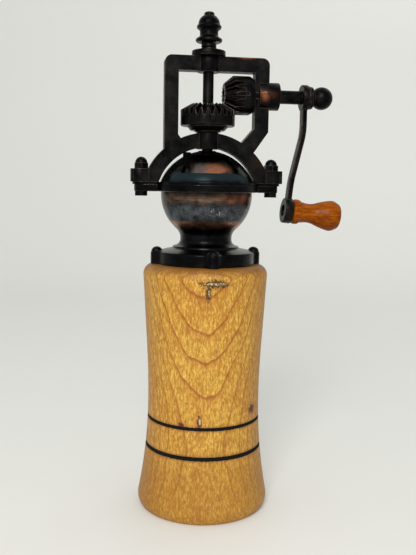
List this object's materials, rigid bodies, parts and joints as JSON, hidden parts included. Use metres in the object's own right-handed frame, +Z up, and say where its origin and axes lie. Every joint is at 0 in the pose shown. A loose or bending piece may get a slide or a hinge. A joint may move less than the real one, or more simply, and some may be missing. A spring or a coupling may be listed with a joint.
{
  "type": "hand crank mill",
  "caption": "Table-top crank mill: turned wooden body, round metal hopper with a sliding door, open frame with bevel gears, side crank with a wooden grip.",
  "frame": {"origin": "centre of the wooden body's flat underside, on the axis of the upright shaft", "axes": "+Z up along the upright shaft, +X along the crank shaft towards the crank, -Y towards the hopper door"},
  "size_m": [0.1048, 0.065, 0.2416],
  "materials": {
    "body_wood": "oiled",
    "grip_wood": "gloss",
    "dark_bronze": "satin",
    "polished_bronze": "gloss",
    "bare_steel": "satin"
  },
  "bodies": {
    "base": {"wood_body": "body_wood", "hopper_bowl": "polished_bronze", "hopper_dome": "polished_bronze", "yoke_frame": "dark_bronze", "yoke_screws": "dark_bronze", "acorn_nuts": "dark_bronze", "base_screws": "dark_bronze", "top_bush": "dark_bronze", "adjuster_spring": "bare_steel", "gear_washer": "dark_bronze", "burr_ring": "bare_steel", "bottom_bridge": "bare_steel", "bridge_screws": "bare_steel"},
    "door": {"dome_door": "polished_bronze"},
    "crank": {"crank_shaft": "dark_bronze", "pinion_gear": "dark_bronze", "pinion_pin": "bare_steel", "crank_arm": "dark_bronze", "crank_washer": "dark_bronze", "crank_nut": "dark_bronze", "handle_pin": "dark_bronze"},
    "grip": {"handle_knob": "grip_wood"},
    "gear": {"crown_gear": "dark_bronze"},
    "spindle": {"drive_shaft": "dark_bronze", "gear_key": "bare_steel", "burr_cone": "bare_steel", "rotor_clip": "bare_steel"},
    "finial": {"finial_nut": "dark_bronze"}
  },
  "joints": [
    {"name": "crank_spin", "type": "hinge", "parent": "base", "child": "crank", "pos_m": [0.03, 0, 0.2031], "axis": [1, 0, 0], "continuous": true},
    {"name": "grip_spin", "type": "hinge", "parent": "crank", "child": "grip", "pos_m": [0.0406, 0, 0.1479], "axis": [0.9945, 0, -0.1045], "continuous": true},
    {"name": "gear_spin", "type": "hinge", "parent": "base", "child": "gear", "pos_m": [0, 0, 0.19], "axis": [0, 0, 1], "continuous": true},
    {"name": "grind_adjust", "type": "slide", "parent": "gear", "child": "spindle", "axis": [0, 0, 1], "range_m": [-0.0007, 0.0007]},
    {"name": "finial_turn", "type": "hinge", "parent": "gear", "child": "finial", "pos_m": [0, 0, 0.23], "axis": [0, 0, 1], "range_deg": [-360, 360]},
    {"name": "door_slide", "type": "hinge", "parent": "base", "child": "door", "pos_m": [0, 0, 0.176], "axis": [0, 0, 1], "range_deg": [0, 62]}
  ],
  "couplings": [
    {"joint": "gear_spin", "follows": "crank_spin", "ratio": 0.66667},
    {"joint": "finial_turn", "follows": "grind_adjust", "rad_per_m": -8976}
  ]
}
